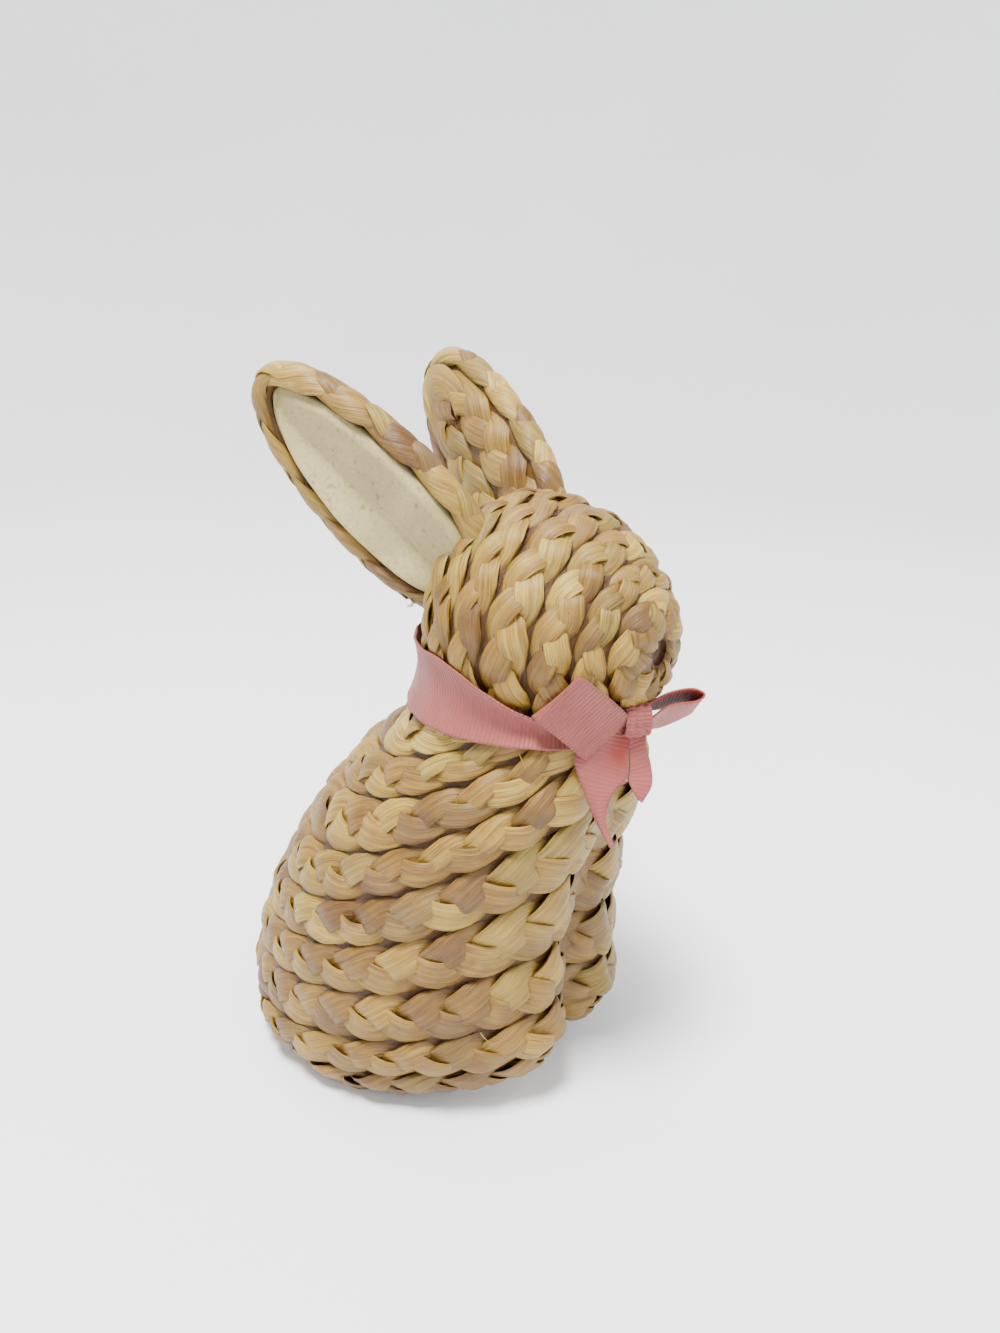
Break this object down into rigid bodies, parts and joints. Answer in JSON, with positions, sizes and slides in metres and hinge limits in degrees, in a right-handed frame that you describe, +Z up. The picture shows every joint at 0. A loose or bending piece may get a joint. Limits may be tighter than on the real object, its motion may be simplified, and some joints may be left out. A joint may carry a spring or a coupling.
{
  "type": "rabbit figure",
  "caption": "Seated Easter rabbit figure covered in rows of plaited dried husk, with two lined ears and a ribbon bow at the neck.",
  "frame": {"origin": "centre of the bounding box at the floor, under the seated body", "axes": "+Z up, the rabbit faces -Y, +X is its left side"},
  "size_m": [0.1014, 0.1358, 0.1939],
  "materials": {
    "husk_body": "satin dried husk, plaited",
    "husk_head": "satin dried husk, plaited",
    "husk_ear": "satin dried husk, plaited and wrapped",
    "ear_lining": "matt pulp sheet with short fibres",
    "card": "matt brown card",
    "peg": "plain bamboo",
    "foam": "expanded polystyrene",
    "ribbon": "ribbed grosgrain ribbon"
  },
  "bodies": {
    "root": {"base_cover": "card", "body_core": "foam", "head_core": "foam", "neck_peg": "peg", "body_plait_1": "husk_body", "body_plait_2": "husk_body", "body_plait_3": "husk_body", "body_plait_4": "husk_body", "body_plait_5": "husk_body", "body_plait_6": "husk_body", "body_plait_7": "husk_body", "body_plait_8": "husk_body", "body_plait_9": "husk_body", "head_plait_1": "husk_head", "head_plait_2": "husk_head", "head_plait_3": "husk_head", "head_plait_4": "husk_head", "head_plait_5": "husk_head", "head_plait_6": "husk_head", "head_plait_7": "husk_head", "head_plait_8": "husk_head", "ear_stem_left": "peg", "ear_card_left": "card", "ear_back_left": "husk_ear", "ear_lining_left": "ear_lining", "ear_rim_left": "husk_ear", "ear_stem_right": "peg", "ear_card_right": "card", "ear_back_right": "husk_ear", "ear_lining_right": "ear_lining", "ear_rim_right": "husk_ear", "ribbon_collar": "ribbon", "ribbon_knot": "ribbon", "ribbon_loop_left": "ribbon", "ribbon_loop_right": "ribbon", "ribbon_tail_left": "ribbon", "ribbon_tail_right": "ribbon"}
  },
  "joints": []
}
